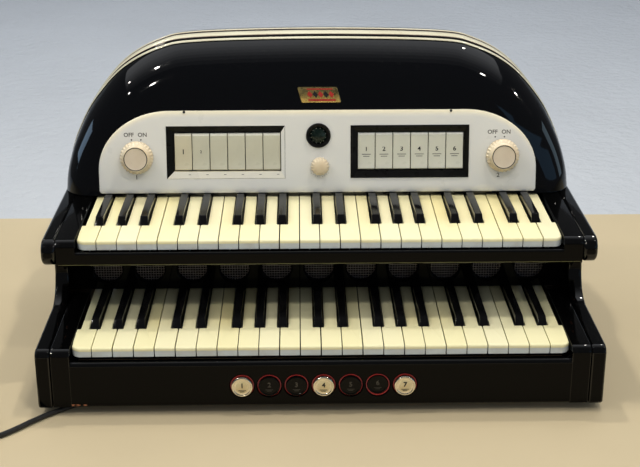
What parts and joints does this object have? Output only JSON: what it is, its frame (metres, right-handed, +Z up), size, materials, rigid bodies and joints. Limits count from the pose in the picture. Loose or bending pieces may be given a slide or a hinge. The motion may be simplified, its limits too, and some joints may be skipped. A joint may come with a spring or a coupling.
{
  "type": "electronic organ",
  "caption": "Table-top electronic reed organ with two manuals, a rounded lacquered hood with a switch panel, push buttons on the front rail and a mains lead.",
  "frame": {"origin": "on the table under the middle of the case, without the mains lead", "axes": "+Z up, +X towards the player's right, +Y away from the player"},
  "size_m": [0.7999, 0.4652, 0.3727],
  "materials": {
    "black_lacquer": "high gloss black piano lacquer over wood",
    "hood_lacquer": "high gloss black lacquer on moulded plywood",
    "ivory_keys": "yellowed ivory-coloured key plastic, some with black sharps",
    "black_keys": "black key plastic, satin gloss",
    "cream_panel": "pale grey-cream enamel",
    "beige_tabs": "aged beige plastic",
    "black_plastic": "black moulded plastic",
    "knob_cream": "aged cream plastic",
    "button_ivory": "ivory faced cap with a bright rim",
    "red_felt": "red felt",
    "grille_wire": "fine woven wire mesh",
    "gilt": "gilt plate, bare",
    "trim_cream": "cream ribs on a dark strip",
    "plain_wood": "unfinished wood",
    "zinc_steel": "zinc plated sheet",
    "cord_rubber": "black rubber sheath",
    "eye_glass": "dark glass in a black bezel"
  },
  "bodies": {
    "case": {"base_board": "plain_wood", "side_board_left": "black_lacquer", "side_board_right": "black_lacquer", "lower_front_rail": "black_lacquer", "button_felt": "red_felt", "lower_key_frame": "ivory_keys", "grille_board": "black_lacquer", "grille_mesh": "grille_wire", "upper_shelf": "black_lacquer", "upper_cheek_left": "black_lacquer", "upper_cheek_right": "black_lacquer", "upper_key_frame": "ivory_keys", "hood_shell": "hood_lacquer", "hood_trim": "trim_cream", "rear_cover": "black_lacquer", "control_panel": "cream_panel", "switch_frame_left": "black_plastic", "switch_frame_right": "black_plastic", "plain_plate": "gilt", "tuning_eye": "eye_glass", "reed_chest": "plain_wood", "amplifier_chassis": "zinc_steel", "cord_gland": "cord_rubber", "mains_cord": "cord_rubber", "cord_coil": "cord_rubber", "mains_plug": "black_plastic"},
    "lower_key_F": {"lower_key_F": "ivory_keys"},
    "lower_key_F_sharp": {"lower_key_F_sharp": "black_keys"},
    "lower_key_G": {"lower_key_G": "ivory_keys"},
    "lower_key_G_sharp": {"lower_key_G_sharp": "black_keys"},
    "lower_key_A": {"lower_key_A": "ivory_keys"},
    "lower_key_A_sharp": {"lower_key_A_sharp": "black_keys"},
    "lower_key_B": {"lower_key_B": "ivory_keys"},
    "upper_key_C": {"upper_key_C": "ivory_keys"},
    "upper_key_C_sharp": {"upper_key_C_sharp": "black_keys"},
    "upper_key_D": {"upper_key_D": "ivory_keys"},
    "upper_key_D_sharp": {"upper_key_D_sharp": "black_keys"},
    "upper_key_E": {"upper_key_E": "ivory_keys"},
    "push_button_1": {"push_button_1": "button_ivory"},
    "push_button_2": {"push_button_2": "black_plastic"},
    "push_button_3": {"push_button_3": "black_plastic"},
    "push_button_4": {"push_button_4": "button_ivory"},
    "push_button_5": {"push_button_5": "black_plastic"},
    "push_button_6": {"push_button_6": "black_plastic"},
    "push_button_7": {"push_button_7": "button_ivory"},
    "switch_tab_left_1": {"switch_tab_left_1": "beige_tabs"},
    "switch_tab_left_2": {"switch_tab_left_2": "beige_tabs"},
    "switch_tab_left_3": {"switch_tab_left_3": "beige_tabs"},
    "switch_tab_left_4": {"switch_tab_left_4": "beige_tabs"},
    "switch_tab_left_5": {"switch_tab_left_5": "beige_tabs"},
    "switch_tab_left_6": {"switch_tab_left_6": "beige_tabs"},
    "switch_tab_right_1": {"switch_tab_right_1": "beige_tabs"},
    "switch_tab_right_2": {"switch_tab_right_2": "beige_tabs"},
    "switch_tab_right_3": {"switch_tab_right_3": "beige_tabs"},
    "switch_tab_right_4": {"switch_tab_right_4": "beige_tabs"},
    "switch_tab_right_5": {"switch_tab_right_5": "beige_tabs"},
    "switch_tab_right_6": {"switch_tab_right_6": "beige_tabs"},
    "knob_left": {"knob_left": "knob_cream"},
    "knob_right": {"knob_right": "knob_cream"},
    "tuning_knob": {"tuning_knob": "knob_cream"}
  },
  "joints": [
    {"name": "lower_key_F_dip", "type": "hinge", "parent": "case", "child": "lower_key_F", "pos_m": [-0.10575, -0.003, 0.0687], "axis": [1, 0, 0], "range_deg": [0, 3.4], "stiffness_Nm_per_rad": 0.5, "springref_deg": -9.17},
    {"name": "lower_key_F_sharp_dip", "type": "hinge", "parent": "case", "child": "lower_key_F_sharp", "pos_m": [-0.097, -0.003, 0.0687], "axis": [1, 0, 0], "range_deg": [0, 2.6], "stiffness_Nm_per_rad": 0.5, "springref_deg": -9.17},
    {"name": "lower_key_G_dip", "type": "hinge", "parent": "case", "child": "lower_key_G", "pos_m": [-0.08225, -0.003, 0.0687], "axis": [1, 0, 0], "range_deg": [0, 3.4], "stiffness_Nm_per_rad": 0.5, "springref_deg": -9.17},
    {"name": "lower_key_G_sharp_dip", "type": "hinge", "parent": "case", "child": "lower_key_G_sharp", "pos_m": [-0.0705, -0.003, 0.0687], "axis": [1, 0, 0], "range_deg": [0, 2.6], "stiffness_Nm_per_rad": 0.5, "springref_deg": -9.17},
    {"name": "lower_key_A_dip", "type": "hinge", "parent": "case", "child": "lower_key_A", "pos_m": [-0.05875, -0.003, 0.0687], "axis": [1, 0, 0], "range_deg": [0, 3.4], "stiffness_Nm_per_rad": 0.5, "springref_deg": -9.17},
    {"name": "lower_key_A_sharp_dip", "type": "hinge", "parent": "case", "child": "lower_key_A_sharp", "pos_m": [-0.044, -0.003, 0.0687], "axis": [1, 0, 0], "range_deg": [0, 2.6], "stiffness_Nm_per_rad": 0.5, "springref_deg": -9.17},
    {"name": "lower_key_B_dip", "type": "hinge", "parent": "case", "child": "lower_key_B", "pos_m": [-0.03525, -0.003, 0.0687], "axis": [1, 0, 0], "range_deg": [0, 3.4], "stiffness_Nm_per_rad": 0.5, "springref_deg": -9.17},
    {"name": "upper_key_C_dip", "type": "hinge", "parent": "case", "child": "upper_key_C", "pos_m": [-0.01175, 0.076, 0.1667], "axis": [1, 0, 0], "range_deg": [0, 3.4], "stiffness_Nm_per_rad": 0.5, "springref_deg": -9.17},
    {"name": "upper_key_C_sharp_dip", "type": "hinge", "parent": "case", "child": "upper_key_C_sharp", "pos_m": [-0.0024, 0.076, 0.1667], "axis": [1, 0, 0], "range_deg": [0, 2.6], "stiffness_Nm_per_rad": 0.5, "springref_deg": -9.17},
    {"name": "upper_key_D_dip", "type": "hinge", "parent": "case", "child": "upper_key_D", "pos_m": [0.01175, 0.076, 0.1667], "axis": [1, 0, 0], "range_deg": [0, 3.4], "stiffness_Nm_per_rad": 0.5, "springref_deg": -9.17},
    {"name": "upper_key_D_sharp_dip", "type": "hinge", "parent": "case", "child": "upper_key_D_sharp", "pos_m": [0.0259, 0.076, 0.1667], "axis": [1, 0, 0], "range_deg": [0, 2.6], "stiffness_Nm_per_rad": 0.5, "springref_deg": -9.17},
    {"name": "upper_key_E_dip", "type": "hinge", "parent": "case", "child": "upper_key_E", "pos_m": [0.03525, 0.076, 0.1667], "axis": [1, 0, 0], "range_deg": [0, 3.4], "stiffness_Nm_per_rad": 0.5, "springref_deg": -9.17},
    {"name": "push_button_1_travel", "type": "slide", "parent": "case", "child": "push_button_1", "axis": [0, 1, 0], "range_m": [0, 0.005]},
    {"name": "push_button_2_travel", "type": "slide", "parent": "case", "child": "push_button_2", "axis": [0, 1, 0], "range_m": [0, 0.005]},
    {"name": "push_button_3_travel", "type": "slide", "parent": "case", "child": "push_button_3", "axis": [0, 1, 0], "range_m": [0, 0.005]},
    {"name": "push_button_4_travel", "type": "slide", "parent": "case", "child": "push_button_4", "axis": [0, 1, 0], "range_m": [0, 0.005]},
    {"name": "push_button_5_travel", "type": "slide", "parent": "case", "child": "push_button_5", "axis": [0, 1, 0], "range_m": [0, 0.005]},
    {"name": "push_button_6_travel", "type": "slide", "parent": "case", "child": "push_button_6", "axis": [0, 1, 0], "range_m": [-0.0032, 0.0018]},
    {"name": "push_button_7_travel", "type": "slide", "parent": "case", "child": "push_button_7", "axis": [0, 1, 0], "range_m": [0, 0.005]},
    {"name": "tab_left_1_rock", "type": "hinge", "parent": "case", "child": "switch_tab_left_1", "pos_m": [-0.16795, 0.05805, 0.23316], "axis": [1, 0, 0], "range_deg": [-4, 4]},
    {"name": "tab_left_2_rock", "type": "hinge", "parent": "case", "child": "switch_tab_left_2", "pos_m": [-0.14585, 0.05805, 0.23316], "axis": [1, 0, 0], "range_deg": [-4, 4]},
    {"name": "tab_left_3_rock", "type": "hinge", "parent": "case", "child": "switch_tab_left_3", "pos_m": [-0.12375, 0.05805, 0.23316], "axis": [1, 0, 0], "range_deg": [-4, 4]},
    {"name": "tab_left_4_rock", "type": "hinge", "parent": "case", "child": "switch_tab_left_4", "pos_m": [-0.10165, 0.05805, 0.23316], "axis": [1, 0, 0], "range_deg": [-4, 4]},
    {"name": "tab_left_5_rock", "type": "hinge", "parent": "case", "child": "switch_tab_left_5", "pos_m": [-0.07955, 0.05805, 0.23316], "axis": [1, 0, 0], "range_deg": [-4, 4]},
    {"name": "tab_left_6_rock", "type": "hinge", "parent": "case", "child": "switch_tab_left_6", "pos_m": [-0.05745, 0.05805, 0.23316], "axis": [1, 0, 0], "range_deg": [-4, 4]},
    {"name": "tab_right_1_rock", "type": "hinge", "parent": "case", "child": "switch_tab_right_1", "pos_m": [0.06065, 0.05805, 0.23316], "axis": [1, 0, 0], "range_deg": [-4, 4]},
    {"name": "tab_right_2_rock", "type": "hinge", "parent": "case", "child": "switch_tab_right_2", "pos_m": [0.08275, 0.05805, 0.23316], "axis": [1, 0, 0], "range_deg": [-4, 4]},
    {"name": "tab_right_3_rock", "type": "hinge", "parent": "case", "child": "switch_tab_right_3", "pos_m": [0.10485, 0.05805, 0.23316], "axis": [1, 0, 0], "range_deg": [-4, 4]},
    {"name": "tab_right_4_rock", "type": "hinge", "parent": "case", "child": "switch_tab_right_4", "pos_m": [0.12695, 0.05805, 0.23316], "axis": [1, 0, 0], "range_deg": [-4, 4]},
    {"name": "tab_right_5_rock", "type": "hinge", "parent": "case", "child": "switch_tab_right_5", "pos_m": [0.14905, 0.05805, 0.23316], "axis": [1, 0, 0], "range_deg": [-4, 4]},
    {"name": "tab_right_6_rock", "type": "hinge", "parent": "case", "child": "switch_tab_right_6", "pos_m": [0.17115, 0.05805, 0.23316], "axis": [1, 0, 0], "range_deg": [-4, 4]},
    {"name": "knob_left_turn", "type": "hinge", "parent": "case", "child": "knob_left", "pos_m": [-0.2255, 0.04473, 0.22929], "axis": [0, 0.989, -0.1478], "range_deg": [0, 40]},
    {"name": "knob_right_turn", "type": "hinge", "parent": "case", "child": "knob_right", "pos_m": [0.2307, 0.04473, 0.22929], "axis": [0, 0.989, -0.1478], "range_deg": [0, 40]},
    {"name": "tuning_knob_turn", "type": "hinge", "parent": "case", "child": "tuning_knob", "pos_m": [0.0026, 0.04292, 0.21722], "axis": [0, 0.989, -0.1478], "range_deg": [-135, 135]}
  ]
}
